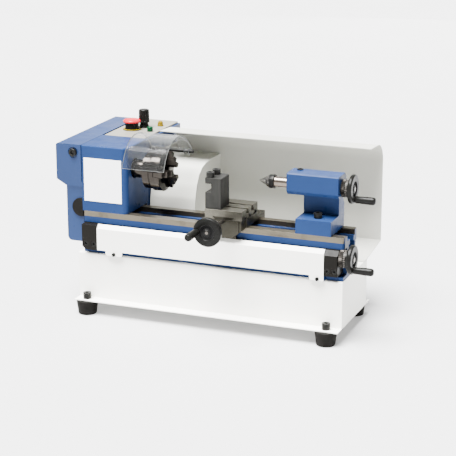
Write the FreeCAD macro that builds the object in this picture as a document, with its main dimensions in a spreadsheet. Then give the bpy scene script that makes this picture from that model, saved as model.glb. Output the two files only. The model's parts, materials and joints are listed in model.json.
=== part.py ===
import FreeCAD, Part
import Sketcher
import os
import re

# Small bench metal lathe, millimetres.
# X runs from the headstock to the tailstock, Y from the front to the back, Z up.
# Pieces are laid out from the left front top corner of the base; at the end every piece is
# moved so that the middle of the whole lathe's underside is the origin.

SIZES = {
    # white sheet base and its feet
    "base_length": 450,
    "base_depth": 133,
    "base_height": 75.5,
    "sheet": 1.5,
    "front_flange": 20.5,
    "rear_flange": 19.5,
    "foot_height": 23,
    "foot_top_radius": 18,
    "foot_low_radius": 15,
    # cast bed
    "bed_left": 8,
    "bed_right": 449.5,
    "bed_front": 7.3,
    "bed_back": 75,
    "way_top": 68.4,
    "way_under": 50,
    "web_front": 24,
    "ledge_top": 60,
    "ledge_under": 52,
    # centre line of spindle and tailstock
    "axis_y": 41.2,
    "axis_z": 138.4,
    # leadscrew
    "screw_y": 8,
    "screw_z": 36,
    "screw_radius": 4.5,
    # headstock casting
    "head_left": 5.3,
    "head_right": 84.4,
    "head_back": 86,
    "head_top": 177.4,
    "spindle_radius": 12.5,
    "bearing_radius": 23.5,
    # rear control box
    "box_left": 6,
    "box_right": 84,
    "box_back": 231,
    "box_bottom": 13.4,
    "box_top": 174,
    "panel_top": 177,
    # controls on top of the box
    "stop_x": 33,
    "stop_y": 142,
    "speed_x": 45,
    "speed_y": 165,
    "start_x": 67,
    "start_y": 140,
    "lamp_x": 66.5,
    "lamp_y": 184,
    # motor
    "motor_y": 150,
    "motor_z": 70,
    "motor_radius": 32,
    "pulley_radius": 24,
    "motor_pulley_radius": 10,
    "belt_thickness": 2.5,
    # end cover
    "cover_left": -40,
    "cover_low_left": -26,
    "cover_right": 4.6,
    "cover_step": 118,
    "cover_wall": 2,
    # chuck
    "chuck_radius": 32.5,
    "chuck_face": 139,
    "jaw_inner": 7,
    # clear chuck guard
    "hinge_y": 102,
    "hinge_z": 158.5,
    "guard_left": 84.9,
    "guard_right": 157,
    # carriage
    "saddle_left": 226.5,
    "saddle_right": 290,
    "saddle_top": 83,
    "slide_right": 288.5,
    "slide_top": 98,
    "cross_x": 256.8,
    "cross_z": 80,
    "post_right": 252.5,
    "post_top": 147,
    # tailstock
    "tail_left": 370,
    "tail_right": 427.5,
    "tail_foot_top": 91.7,
    "barrel_left": 351,
    "barrel_right": 434.4,
    "lock_x": 364,
    "lock_y": 45.5,
    "quill_radius": 8.4,
    # rear splash guard
    "splash_left": 86,
    "splash_right": 450.5,
    "splash_back": 209.7,
    "bulge_right": 166,
    # handwheels
    "wheel_radius": 23,
    "pin_radius": 2.5,
    "pin_circle": 16.4,
    # clearances
    "slide_gap": 0.05,
    "run_gap": 0.3,
    # where the origin of the finished lathe lies in the layout frame
    "origin_x": 0,
    "origin_y": 0,
    "origin_z": 0,
}

doc = FreeCAD.newDocument("bench_lathe")
sheet = doc.addObject("Spreadsheet::Sheet", "Sheet")
for row, (alias, value) in enumerate(SIZES.items(), 1):
    sheet.set("A%d" % row, alias)
    sheet.set("B%d" % row, str(value))
    sheet.setAlias("B%d" % row, alias)
doc.recompute()

WORD = re.compile(r"[a-z][a-z_0-9]*")
PLANES = {"x": "YZ_Plane", "y": "XZ_Plane", "z": "XY_Plane"}
TURNS = {
    "x": FreeCAD.Rotation(),
    "-x": FreeCAD.Rotation(FreeCAD.Vector(0, 0, 1), 180),
    "y": FreeCAD.Rotation(FreeCAD.Vector(0, 0, 1), 90),
    "-y": FreeCAD.Rotation(FreeCAD.Vector(0, 0, 1), -90),
    "z": FreeCAD.Rotation(FreeCAD.Vector(0, 1, 0), -90),
    "-z": FreeCAD.Rotation(FreeCAD.Vector(0, 1, 0), 90),
}
nodes = []


def formula(text):
    """The text with every sheet name written the way a formula needs it."""
    return WORD.sub(lambda m: "Sheet." + m.group(0) if m.group(0) in SIZES else m.group(0), str(text))


def number(text):
    return float(sheet.evalExpression(str(text)))


def bind(thing, field, text):
    thing.setExpression(field, formula(text))


def node(thing, label, x=0, y=0, z=0, turn=None):
    """Register a finished piece and place it in the lathe's frame."""
    thing.Label = label
    if turn is not None:
        thing.Placement = FreeCAD.Placement(FreeCAD.Vector(), turn)
    bind(thing, "Placement.Base.x", "%s - origin_x" % x)
    bind(thing, "Placement.Base.y", "%s - origin_y" % y)
    bind(thing, "Placement.Base.z", "%s - origin_z" % z)
    nodes.append(thing)
    return thing


def body(label, x=0, y=0, z=0, turn=None):
    return node(doc.addObject("PartDesign::Body", label), label, x, y, z, turn)


def rect(left, low, right, high):
    return [(left, low), (right, low), (right, high), (left, high)]


def round_hole(across, up, radius):
    return (across, up, radius)


def sketch(part, name, axis, offset, shapes):
    """A closed sketch; a list is an outline, a tuple of three is a circle."""
    flat = part.newObject("Sketcher::SketchObject", name)
    plane = [f for f in part.Origin.OriginFeatures if f.Role == PLANES[axis]][0]
    flat.AttachmentSupport = [(plane, "")]
    flat.MapMode = "FlatFace"
    bind(flat, "AttachmentOffset.Base.z", offset)
    for shape in shapes:
        if isinstance(shape, tuple):
            across, up, radius = shape
            centre = FreeCAD.Vector(number(across), number(up), 0)
            circle = Part.Circle(centre, FreeCAD.Vector(0, 0, 1), number(radius))
            first = flat.addGeometry(circle, False)
            hold(flat, "DistanceX", first, 3, across)
            hold(flat, "DistanceY", first, 3, up)
            rule = flat.addConstraint(Sketcher.Constraint("Radius", first, number(radius)))
            bind(flat, "Constraints[%d]" % rule, radius)
            continue
        spots = [FreeCAD.Vector(number(a), number(b), 0) for a, b in shape]
        lines = []
        for index, spot in enumerate(spots):
            following = spots[(index + 1) % len(spots)]
            lines.append(flat.addGeometry(Part.LineSegment(spot, following), False))
        for index, line in enumerate(lines):
            following = lines[(index + 1) % len(lines)]
            flat.addConstraint(Sketcher.Constraint("Coincident", line, 2, following, 1))
        for line, (across, up) in zip(lines, shape):
            hold(flat, "DistanceX", line, 1, across)
            hold(flat, "DistanceY", line, 1, up)
    flat.Visibility = False
    return flat


def hold(flat, kind, line, end, text):
    """Fix one coordinate of a sketch point to a formula."""
    rule = flat.addConstraint(Sketcher.Constraint(kind, -1, 1, line, end, number(text)))
    bind(flat, "Constraints[%d]" % rule, text)


def extrude(part, name, axis, start, stop, shapes, cut=False):
    """Pad or pocket running from start to stop along an axis."""
    offset = "-(%s)" % stop if axis == "y" else start
    flat = sketch(part, name + "_sketch", axis, offset, shapes)
    kind = "PartDesign::Pocket" if cut else "PartDesign::Pad"
    feature = part.newObject(kind, name)
    feature.Profile = flat
    if cut:
        feature.Reversed = True
    bind(feature, "Length", "(%s) - (%s)" % (stop, start))
    doc.recompute()
    return feature


def cut(part, name, axis, start, stop, shapes):
    """Pocket that has to take material away."""
    before = part.Shape.Volume
    feature = extrude(part, name, axis, start, stop, shapes, cut=True)
    if part.Shape.Volume > before - 0.01:
        raise RuntimeError("nothing removed by " + name)
    return feature


def turned(label, points, x, y, z, facing="x", spin=0):
    """A turned piece: (distance along its axis, radius) points, axis pointing to facing."""
    turn = TURNS[facing].multiply(FreeCAD.Rotation(FreeCAD.Vector(1, 0, 0), spin))
    part = body(label, x, y, z, turn)
    flat = sketch(part, label + "_outline", "y", 0, [points])
    feature = part.newObject("PartDesign::Revolution", label + "_turning")
    feature.Profile = flat
    feature.ReferenceAxis = (flat, ["H_Axis"])
    feature.Angle = 360
    doc.recompute()
    return part


def soften(part, name, radius, spots):
    """Fillet the edges that pass through the given points."""
    doc.recompute()
    shape = part.Tip.Shape
    names = []
    for spot in spots:
        vertex = Part.Vertex(*[number(value) for value in spot])
        gaps = [edge.distToShape(vertex)[0] for edge in shape.Edges]
        names.append("Edge%d" % (gaps.index(min(gaps)) + 1))
    before = part.Tip
    feature = part.newObject("PartDesign::Fillet", name)
    feature.Base = (before, names)
    bind(feature, "Radius", radius)
    doc.recompute()
    return feature


def cylinder(name, radius, height, x, y, z, facing="z"):
    thing = doc.addObject("Part::Cylinder", name)
    bind(thing, "Radius", radius)
    bind(thing, "Height", height)
    if facing != "z":
        turn = TURNS[facing].multiply(FreeCAD.Rotation(FreeCAD.Vector(0, 1, 0), 90))
        thing.Placement = FreeCAD.Placement(FreeCAD.Vector(), turn)
    bind(thing, "Placement.Base.x", x)
    bind(thing, "Placement.Base.y", y)
    bind(thing, "Placement.Base.z", z)
    return thing


def socket_screw(name, head, head_length, shank, shank_length, x, y, z, facing="z"):
    """Cap screw with its head seated at x, y, z and its socket looking to facing."""
    top = cylinder(name + "_head", head, head_length, 0, 0, 0)
    stem = cylinder(name + "_shank", shank, shank_length, 0, 0, "-(%s)" % shank_length)
    screw = doc.addObject("Part::MultiFuse", name + "_blank")
    screw.Shapes = [top, stem]
    socket = doc.addObject("Part::Prism", name + "_hexagon")
    socket.Polygon = 6
    bind(socket, "Circumradius", "(%s) * 0.55" % head)
    bind(socket, "Height", "(%s) * 0.6 + 1" % head_length)
    bind(socket, "Placement.Base.z", "(%s) * 0.4" % head_length)
    done = doc.addObject("Part::Cut", name)
    done.Base = screw
    done.Tool = socket
    turn = TURNS[facing].multiply(FreeCAD.Rotation(FreeCAD.Vector(0, 1, 0), 90))
    done.Placement = FreeCAD.Placement(FreeCAD.Vector(), turn)
    bind(done, "Placement.Base.x", x)
    bind(done, "Placement.Base.y", y)
    bind(done, "Placement.Base.z", z)
    return done


def group(label, members):
    """One node made of several separate like pieces."""
    bundle = doc.addObject("Part::Compound", label)
    bundle.Links = members
    return node(bundle, label)


# ---------------------------------------------------------------- base and feet

base = body("base_cabinet")
hat = [
    ("-front_flange", "-base_height - sheet"),
    ("-front_flange", "-base_height"),
    (0, "-base_height"),
    (0, 0),
    ("base_depth", 0),
    ("base_depth", "-base_height"),
    ("base_depth + rear_flange", "-base_height"),
    ("base_depth + rear_flange", "-base_height - sheet"),
    ("base_depth - sheet", "-base_height - sheet"),
    ("base_depth - sheet", "-sheet"),
    ("sheet", "-sheet"),
    ("sheet", "-base_height - sheet"),
]
extrude(base, "folded_sheet", "x", 0, "base_length", [hat])
end_wall = rect("sheet - 0.2", "-base_height - sheet", "base_depth - sheet + 0.2", "-sheet + 0.2")
extrude(base, "left_end", "x", 0, "sheet", [end_wall])
extrude(base, "right_end", "x", "base_length - sheet", "base_length", [end_wall])

feet_x = (18, 428)
feet_y = (-10, 143)
foot_spots = [(x, y) for x in feet_x for y in feet_y]
bolt_holes = [round_hole(x, y, 4) for x, y in foot_spots]
cut(base, "foot_holes", "z", "-base_height - sheet - 1", "-base_height + 1", bolt_holes)
bed_bolt_spots = [(24, 37), (24, 55), (433, 37), (433, 55)]
bed_bolt_holes = [round_hole(x, y, 4) for x, y in bed_bolt_spots]
cut(base, "bed_bolt_holes", "z", "-sheet - 1", 1, bed_bolt_holes)
soften(base, "outer_bends", 2.5, [(225, 0, 0), (225, "base_depth", 0)])

feet = []
foot_bolts = []
for index, (x, y) in enumerate(foot_spots):
    cone = doc.addObject("Part::Cone", "foot_cone_%d" % index)
    bind(cone, "Radius1", "foot_low_radius")
    bind(cone, "Radius2", "foot_top_radius")
    bind(cone, "Height", "foot_height")
    bind(cone, "Placement.Base.x", x)
    bind(cone, "Placement.Base.y", y)
    bind(cone, "Placement.Base.z", "-base_height - sheet - foot_height")
    bore = cylinder("foot_bore_%d" % index, 4, "foot_height - 3", x, y,
                    "-base_height - sheet - foot_height + 3")
    foot = doc.addObject("Part::Cut", "foot_%d" % index)
    foot.Base = cone
    foot.Tool = bore
    feet.append(foot)
    foot_bolts.append(socket_screw("foot_bolt_%d" % index, 6.7, 10.5, 4, 20, x, y, "-base_height"))
group("rubber_feet", feet)
group("foot_bolts", foot_bolts)

# ---------------------------------------------------------------- bed

bed = body("bed")
front_rail = [
    (5, 0),
    (5, 6),
    ("web_front", 6),
    ("web_front", "way_under"),
    ("bed_front", "way_under"),
    ("bed_front", "way_top"),
    (22.3, "way_top"),
    (22.3, "ledge_top"),
    (36, "ledge_top"),
    (36, "ledge_under"),
    ("web_front + 6", "ledge_under"),
    ("web_front + 6", 0),
]
rear_rail = [
    (60, 0),
    (60, 6),
    (62, 6),
    (62, "ledge_under"),
    (56, "ledge_under"),
    (56, "ledge_top"),
    (62, "ledge_top"),
    (62, "way_top"),
    ("bed_back", "way_top"),
    ("bed_back", "way_under"),
    (67, "way_under"),
    (67, 6),
    ("bed_back", 6),
    ("bed_back", 0),
]
extrude(bed, "front_rail", "x", "bed_left", "bed_right", [front_rail])
extrude(bed, "left_foot", "z", 0, 10, [rect("bed_left", 29, 44, 63)])
extrude(bed, "right_foot", "z", 0, 10, [rect(413, 29, "bed_right", 63)])
extrude(bed, "rear_rail", "x", "bed_left", "bed_right", [rear_rail])
for index, rib_x in enumerate((100, 200, 300, 395)):
    rib = rect(29, 6, 63, 38)
    extrude(bed, "rib_%d" % index, "x", rib_x, "%d + 7" % rib_x, [rib])
lugs = [rect(55, -4.8, 77, 5.5), rect(401, -4.8, 421, 5.5)]
extrude(bed, "guard_lugs", "z", 0, 6, lugs)
cut(bed, "bed_bolt_bores", "z", -1, 8, bed_bolt_holes)
head_bolt_spots = [(50, 15), (74, 15), (20, 71.2), (74, 71.2)]
head_bolt_holes = [round_hole(x, y, 2.5) for x, y in head_bolt_spots]
cut(bed, "head_bolt_bores", "z", "way_under - 1", "way_top + 1", head_bolt_holes)
bracket_screw_x = (15.5, 29.5, 426, 438)
bracket_bores = [round_hole(x, 17, 2.5) for x in bracket_screw_x]
cut(bed, "bracket_bores", "y", "web_front - 1", "web_front + 5", bracket_bores)
lug_bores = [round_hole(65.8, 3.4, 1.5), round_hole(411, 3.4, 1.5)]
cut(bed, "lug_bores", "y", -5, 3, lug_bores)
soften(bed, "right_corners", 5, [("bed_right", "bed_front", 59), ("bed_right", "bed_back", 59)])

# ---------------------------------------------------------------- headstock

head = body("headstock")
outer = rect("head_left", "bed_front", "head_right", "head_back")
extrude(head, "casting", "z", "way_top", "head_top", [outer])
soften(head, "front_corner", 9, [("head_right", "bed_front", 120)])
soften(head, "top_edges", 2.5, [(40, "bed_front", "head_top")])
cut(head, "hollow", "x", 22, 64, [rect(20, "way_top - 1", 80, 168)])
extrude(head, "front_lug", "y", 9.2, 18, [rect(-17, 156, "head_left + 0.2", 172)])
rear_seat = [round_hole("axis_y", "axis_z", "bearing_radius")]
cut(head, "left_seat", "x", "head_left - 1", 17.3, rear_seat)
cut(head, "right_seat", "x", 63, 81, rear_seat)
cut(head, "left_bore", "x", 17, 23, [round_hole("axis_y", "axis_z", 19)])
cut(head, "right_bore", "x", 80, "head_right + 1", [round_hole("axis_y", "axis_z", 16.5)])
cut(head, "bolt_bores", "z", "way_top - 1", "way_top + 14", head_bolt_holes)
cut(head, "lug_bore", "y", 9, 17, [round_hole(-9, 164, 2.5)])

bearings = []
for index, seat in enumerate((5.3, 69)):
    ring = cylinder("ring_%d" % index, "bearing_radius", 12, seat, "axis_y", "axis_z", "x")
    hole = cylinder("ring_hole_%d" % index, "spindle_radius + slide_gap", 14, seat - 1,
                    "axis_y", "axis_z", "x")
    bearing = doc.addObject("Part::Cut", "bearing_%d" % index)
    bearing.Base = ring
    bearing.Tool = hole
    bearings.append(bearing)
group("spindle_bearings", bearings)

plate = body("name_plate")
extrude(plate, "plate", "y", "bed_front - 0.6", "bed_front", [rect(9.2, 85.6, 75.4, 156.8)])

# ---------------------------------------------------------------- end cover

cover = body("end_cover")
wall = "cover_wall"
extrude(cover, "upper_shell", "z", "cover_step", "head_top",
        [rect("cover_left", 6, "cover_right", 225)])
extrude(cover, "lower_shell", "z", "box_bottom", 106.2,
        [rect("cover_low_left", 13, "cover_right", 218)])
wide = sketch(cover, "step_wide", "z", "cover_step", [rect("cover_left", 6, "cover_right", 225)])
narrow = sketch(cover, "step_narrow", "z", 106, [rect("cover_low_left", 13, "cover_right", 218)])
slope = cover.newObject("PartDesign::AdditiveLoft", "sloped_step")
slope.Profile = wide
slope.Sections = [narrow]
slope.Ruled = True
doc.recompute()
soften(cover, "lower_corner", 8, [("cover_low_left", 100, "box_bottom")])
soften(cover, "upper_corner", 4, [("cover_left", 100, "head_top")])
cut(cover, "upper_hollow", "z", "cover_step", "head_top - cover_wall",
    [rect("cover_left + cover_wall", "6 + cover_wall", "head_left + 1", "225 - cover_wall")])
cut(cover, "lower_hollow", "z", "box_bottom + cover_wall", "cover_step + 1",
    [rect("cover_low_left + cover_wall", "13 + cover_wall", "head_left + 1", "218 - cover_wall")])
extrude(cover, "front_pad", "y", 7, 9.2, [rect(-18, 155, 0, 173)])
extrude(cover, "rear_pad", "y", 218, 224, [rect(-18, 155, 0, 173)])
cut(cover, "front_recess", "y", 5, 7.4, [round_hole(-9, 164, 9)])
cut(cover, "front_hole", "y", 5, 10, [round_hole(-9, 164, 2.5)])
cut(cover, "rear_hole", "y", 217, 226, [round_hole(-9, 164, 2.5)])
cut(cover, "plug_notch", "y", 12, 16, [round_hole(0, 72, 12)])

cover_screws = [
    socket_screw("front_cover_screw", 6.5, 5, 2.5, 9, -9, 7.4, 164, "-y"),
    socket_screw("rear_cover_screw", 6.5, 5, 2.5, 16, -9, 225, 164, "y"),
]
group("cover_screws", cover_screws)

plug = body("cover_grommet")
half_space = rect("cover_right", 40, "cover_right + 40", 110)
extrude(plug, "flange", "y", 10.5, 13, [round_hole(0, 72, 15.4)])
extrude(plug, "stub", "y", 12.8, 17, [round_hole(0, 72, 12)])
cut(plug, "flat_side", "y", 9, 19, [half_space])

# ---------------------------------------------------------------- control box

box = body("control_box")
extrude(box, "box_block", "z", "box_bottom", "box_top",
        [rect("box_left", "head_back", "box_right", "box_back")])
cut(box, "inside", "z", "box_bottom + 3", "box_top - 6",
    [rect("box_left + 3", "head_back + 3", "box_right - 3", "box_back - 3")])
cut(box, "opening", "z", "box_top - 7", "box_top + 1",
    [rect("box_left + 6", "head_back + 6", "box_right - 8", "box_back - 6")])
cut(box, "motor_hole", "x", "box_left - 1", "box_left + 4",
    [round_hole("motor_y", "motor_z", 15.5)])
extrude(box, "rear_lug", "y", 206, 218, [rect(-18, 155, "box_left + 0.2", 173)])
cut(box, "lug_bore", "y", 207, 219, [round_hole(-9, 164, 2.5)])
cut(box, "motor_way", "x", "box_right - 4", "box_right + 1",
    [round_hole("motor_y", "motor_z", "motor_radius + 1.5")])
cut(box, "rod_bore", "x", "box_right - 3.5", "box_right + 1",
    [round_hole("hinge_y", "hinge_z", 3)])
cut(box, "gland_hole", "y", "box_back - 4", "box_back + 1", [round_hole(45, 40, 7)])
vents = [rect(24, 70 + 9 * step, 66, 74.5 + 9 * step) for step in range(6)]
cut(box, "vents", "y", "box_back - 4", "box_back + 1", vents)
soften(box, "rear_corner", 3, [("box_right", "box_back", 60)])

panel = body("control_panel")
extrude(panel, "panel_plate", "z", "box_top", "panel_top",
        [rect(8, "head_back", 80, 229.5)])
panel_holes = [
    round_hole("stop_x", "stop_y", 11),
    round_hole("speed_x", "speed_y", 6),
    round_hole("start_x", "start_y", 5.4),
    round_hole("lamp_x", "lamp_y", 3.8),
]
cut(panel, "panel_holes", "z", "box_top - 1", "panel_top + 1", panel_holes)
soften(panel, "panel_corners", 3, [(80, 229.5, "box_top + 1"), (80, "head_back", "box_top + 1")])


def bush(name, x, y, low, flange, collar, collar_top, bore):
    """Switch bush: body below the panel and a collar standing on it, bored through."""
    stub = cylinder(name + "_stub", low, 26, x, y, "box_top - 23")
    top = cylinder(name + "_collar", collar, collar_top, x, y, "panel_top")
    rim = cylinder(name + "_rim", flange, 1.5, x, y, "panel_top")
    blank = doc.addObject("Part::MultiFuse", name + "_blank")
    blank.Shapes = [stub, top, rim]
    hole = cylinder(name + "_bore", bore, 60, x, y, "box_top - 20")
    done = doc.addObject("Part::Cut", name)
    done.Base = blank
    done.Tool = hole
    return done


group("control_bushes", [
    bush("stop_bush", "stop_x", "stop_y", 11, 15, 11.5, 12, 6.3),
    bush("speed_bush", "speed_x", "speed_y", 6, 9.5, 8, 5, 3.3),
])
stop_profile = [(-12, 0), (-12, 6), (16.2, 6), (16.2, 12.2), (12.4, 12.2), (12.4, 14), (13.2, 15),
                (15.4, 15), (17.6, 13), (18.7, 8), (18.9, 0)]
turned("stop_button", stop_profile, "stop_x", "stop_y", "panel_top", "z")
knob_profile = [(-18, 0), (-18, 3), (5.4, 3), (5.4, 7), (9, 7), (9, 9.3), (30, 8.8), (31, 7.8),
                (31, 0)]
knob = turned("speed_knob", knob_profile, "speed_x", "speed_y", "panel_top", "z")
extrude(knob, "pointer", "x", 9.5, 14, [rect(-1.2, -10.6, 1.2, -7)])
turned("start_button", [(-8, 0), (-8, 5), (7, 5), (8.5, 4), (8.5, 0)], "start_x", "start_y",
       "panel_top", "z")
turned("indicator_lamp", [(-14, 0), (-14, 3.8), (0, 3.8), (0, 5.3), (5, 5.2), (8, 3.6), (9.4, 0)],
       "lamp_x", "lamp_y", "panel_top", "z")
turned("cable_gland", [(-6, 3), (-6, 7), (0, 7), (0, 10), (6, 10), (7, 8), (14, 6), (14, 3)],
       45, "box_back", 40, "y")

# ---------------------------------------------------------------- motor and belt drive

turned("drive_motor", [(0, 5.3), (0, 15.5), (3, 15.5), (3, "motor_radius"), (139, "motor_radius"),
                       (139, 24), (142, 20), (142, 0), (60, 0), (60, 5.3)],
       "box_left", "motor_y", "motor_z")
turned("motor_pulley", [(-27, 0), (-27, "motor_pulley_radius + 2.5"),
                        (-25.5, "motor_pulley_radius + 2.5"), (-25.5, "motor_pulley_radius"),
                        (-13, "motor_pulley_radius"), (-13, 5), (58, 5), (58, 0)],
       "box_left", "motor_y", "motor_z")
turned("spindle_pulley", [(0, "spindle_radius - 0.5"), (0, "pulley_radius + 2.5"),
                          (1.5, "pulley_radius + 2.5"), (1.5, "pulley_radius"),
                          (14, "pulley_radius"), (14, "spindle_radius - 0.5")],
       -21, "axis_y", "axis_z")


def belt_wire(grow):
    """Flat loop round both pulleys, in the plane of the belt's left edge."""
    ends = [
        (FreeCAD.Vector(0, number("axis_y"), number("axis_z")), number("pulley_radius") + grow),
        (FreeCAD.Vector(0, number("motor_y"), number("motor_z")), number("motor_pulley_radius") + grow),
    ]
    (first, big), (second, small) = ends
    along = (second - first).normalize()
    across = FreeCAD.Vector(0, -along.z, along.y)
    gap = first.distanceToPoint(second)
    lean = (big - small) / gap
    rise = (1 - lean * lean) ** 0.5
    upper = along * lean + across * rise
    lower = along * lean - across * rise
    return Part.Wire([
        Part.LineSegment(first + upper * big, second + upper * small).toShape(),
        Part.Arc(second + upper * small, second + along * small, second + lower * small).toShape(),
        Part.LineSegment(second + lower * small, first + lower * big).toShape(),
        Part.Arc(first + lower * big, first - along * big, first + upper * big).toShape(),
    ])


belt = doc.addObject("Part::Feature", "drive_belt")
outside = Part.Face(belt_wire(number("run_gap + belt_thickness")))
inside = Part.Face(belt_wire(number("run_gap")))
loop = outside.cut(inside).extrude(FreeCAD.Vector(10.5, 0, 0))
belt.Shape = loop
node(belt, "drive_belt", x=-18.7)

# ---------------------------------------------------------------- spindle and chuck

# lengths along the spindle are counted from the left end of the base
spindle_points = [
    (-23, 5), (-23, 10), (-21, 10), (-21, "spindle_radius - 0.5"), (5.3, "spindle_radius - 0.5"),
    (5.3, "spindle_radius"), (82, "spindle_radius"), (82, 15), (109, 15), (109, 30),
    (120, 30), (120, 5),
]
turned("spindle", spindle_points, 0, "axis_y", "axis_z")

chuck_points = [
    (120, 9), (120, 29), (122.5, 29), (122.5, "chuck_radius - 1"), (123.5, "chuck_radius"),
    ("chuck_face - 1", "chuck_radius"), ("chuck_face", "chuck_radius - 1"),
    ("chuck_face", 11.7), (129.6, 11.7), (129.6, 26.3), (125, 26.3), (125, 11.7), (124, 9),
]
chuck = turned("chuck_body", chuck_points, 0, "axis_y", "axis_z", spin=90)
scroll_points = [(125.4, 12), (125.4, 26), (129.2, 26), (129.2, 12)]
turned("chuck_scroll", scroll_points, 0, "axis_y", "axis_z")

# jaw directions as turns about the spindle, counted from straight up
jaw_turns = (90, 210, 330)
for index, angle in enumerate(jaw_turns):
    turn = FreeCAD.Rotation(FreeCAD.Vector(1, 0, 0), angle)
    jaw = body("jaw_%d" % (index + 1), 0, "axis_y", "axis_z", turn)
    tip = [(0, "jaw_inner"), (3.6, "jaw_inner + 2.1"), (3.6, 31.5), (-3.6, 31.5),
           (-3.6, "jaw_inner + 2.1")]
    extrude(jaw, "guide_%d" % index, "x", 130, "chuck_face + 1", [tip])
    outline = [(-4.6, 32), (-4.6, "jaw_inner + 2.7"), (0, "jaw_inner"), (4.6, "jaw_inner + 2.7"),
               (4.6, 32)]
    extrude(jaw, "low_step_%d" % index, "x", "chuck_face + 0.3", 145, [outline])
    outline = [(-4.6, 24), (-4.6, "jaw_inner + 2.7"), (0, "jaw_inner"), (4.6, "jaw_inner + 2.7"),
               (4.6, 24)]
    extrude(jaw, "mid_step_%d" % index, "x", 144.8, 151, [outline])
    outline = [(-4.6, 16), (-4.6, "jaw_inner + 2.7"), (0, "jaw_inner"), (4.6, "jaw_inner + 2.7"),
               (4.6, 16)]
    extrude(jaw, "top_step_%d" % index, "x", 150.8, 156, [outline])


def three_times(part, name, feature):
    """Repeat a feature at three places round the piece's own X axis."""
    before = part.Shape.Volume
    pattern = part.newObject("PartDesign::PolarPattern", name)
    pattern.Originals = [feature]
    pattern.Axis = ([f for f in part.Origin.OriginFeatures if f.Role == "X_Axis"][0], [""])
    pattern.Angle = 360
    pattern.Occurrences = 3
    part.Tip = pattern
    doc.recompute()
    if part.Shape.Volume > before - 1:
        raise RuntimeError("nothing repeated by " + name)


jaw_slot = rect(-3.9, 0.1, 3.9, "chuck_radius + 2")
three_times(chuck, "jaw_slots", cut(chuck, "jaw_slot", "x", 129.3, "chuck_face + 1", [jaw_slot]))
three_times(chuck, "key_holes", cut(chuck, "key_hole", "z", -33.5, -27, [round_hole(127.2, 0, 3)]))

# ---------------------------------------------------------------- clear chuck guard

hood = body("chuck_guard")
hood_outline = [
    (-11, 150), (-3, 166.5), (7.5, 180.3), (22, 190.4), (38, 195.2), (57, 195.2), (76, 188.6),
    (93, 176.5), (106, 163), (104.2, 161.3), (91.4, 174.6), (74.8, 186.4), (56.6, 192.7),
    (38.4, 192.7), (23.1, 188.1), (9.3, 178.5), (-0.9, 165.2), (-8.8, 148.9),
]
extrude(hood, "bent_sheet", "x", "guard_left", "guard_right", [hood_outline])
soften(hood, "outer_bends", 40, [("guard_left + 9", y, z) for y, z in hood_outline[1:8]])
soften(hood, "inner_bends", 37.5, [("guard_left + 9", y, z) for y, z in hood_outline[10:17]])
hinge_eye = [round_hole("hinge_y", "hinge_z", 5.6)]
extrude(hood, "left_knuckle", "x", 88, 96, hinge_eye)
extrude(hood, "right_knuckle", "x", 146, 154, hinge_eye)
cut(hood, "hinge_bore", "x", 84, 158, [round_hole("hinge_y", "hinge_z", "3 + slide_gap")])

rod = body("hinge_rod")
extrude(rod, "rod", "x", "box_right - 3.5", 161, [round_hole("hinge_y", "hinge_z", 3)])

# ---------------------------------------------------------------- leadscrew and its guard

guard = body("leadscrew_guard")
guard_outline = [
    (-6, 7.9), (-6, 44), (0.4, 50.2), (1.2, 49.3), (-4.8, 43.5), (-4.8, 7.9),
]
extrude(guard, "folded_sheet", "x", 36.1, 420.9, [guard_outline])
guard_tabs = [rect(51, 0.4, 80, 8.1), rect(398, 0.4, 420.9, 8.1)]
extrude(guard, "tabs", "y", -6, -4.8, guard_tabs)
cut(guard, "tab_holes", "y", -7, -4, [round_hole(65.8, 3.4, 1.6), round_hole(411, 3.4, 1.6)])
soften(guard, "tab_corners", 3, [(51, -5.4, 0.4), (80, -5.4, 0.4), (398, -5.4, 0.4)])

left = body("left_bracket")
left_outline = [(9, 12.3), (15, 7), (36, 7), (36, 49), (9, 49)]
extrude(left, "block", "y", -6, "web_front", [left_outline])
cut(left, "journal", "x", 8, 37, [round_hole("screw_y", "screw_z", "screw_radius + slide_gap")])
cut(left, "screw_bores", "y", -7, "web_front + 1", [round_hole(15.5, 17, 2.5), round_hole(29.5, 17, 2.5)])
cut(left, "head_bores", "y", -7, 0, [round_hole(15.5, 17, 4.5), round_hole(29.5, 17, 4.5)])

right = body("right_bracket")
right_outline = [(-6, 9), (-6, 42), (2, 49.5), ("web_front", 49.5), ("web_front", 9)]
extrude(right, "block", "x", 421.3, 443, [right_outline])
cut(right, "journal", "x", 420, 444, [round_hole("screw_y", "screw_z", "4 + slide_gap")])
cut(right, "screw_bores", "y", -7, "web_front + 1", [round_hole(426, 17, 2.5), round_hole(438, 17, 2.5)])
cut(right, "head_bores", "y", -7, 0, [round_hole(426, 17, 4.5), round_hole(438, 17, 4.5)])
soften(right, "right_edges", 2, [(443, -6, 20)])

frame_bolts = []
for index, (x, y) in enumerate(bed_bolt_spots):
    frame_bolts.append(socket_screw("bed_bolt_%d" % index, 6.5, 8, 4, 9.5, x, y, "-sheet", "-z"))
for index, (x, y) in enumerate(head_bolt_spots):
    frame_bolts.append(socket_screw("head_bolt_%d" % index, 4.2, 5, 2.5, 32, x, y, "way_under", "-z"))
for index, x in enumerate(bracket_screw_x):
    frame_bolts.append(socket_screw("bracket_screw_%d" % index, 4.4, 5, 2.5, 28, x, 0, 17, "-y"))
group("frame_bolts", frame_bolts)

screw_points = [
    (-429, 0), (-429, "screw_radius"), (-22.5, "screw_radius"), (-22.5, 4), (23, 4), (23, 0),
]
turned("leadscrew", screw_points, 443, "screw_y", "screw_z")


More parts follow.
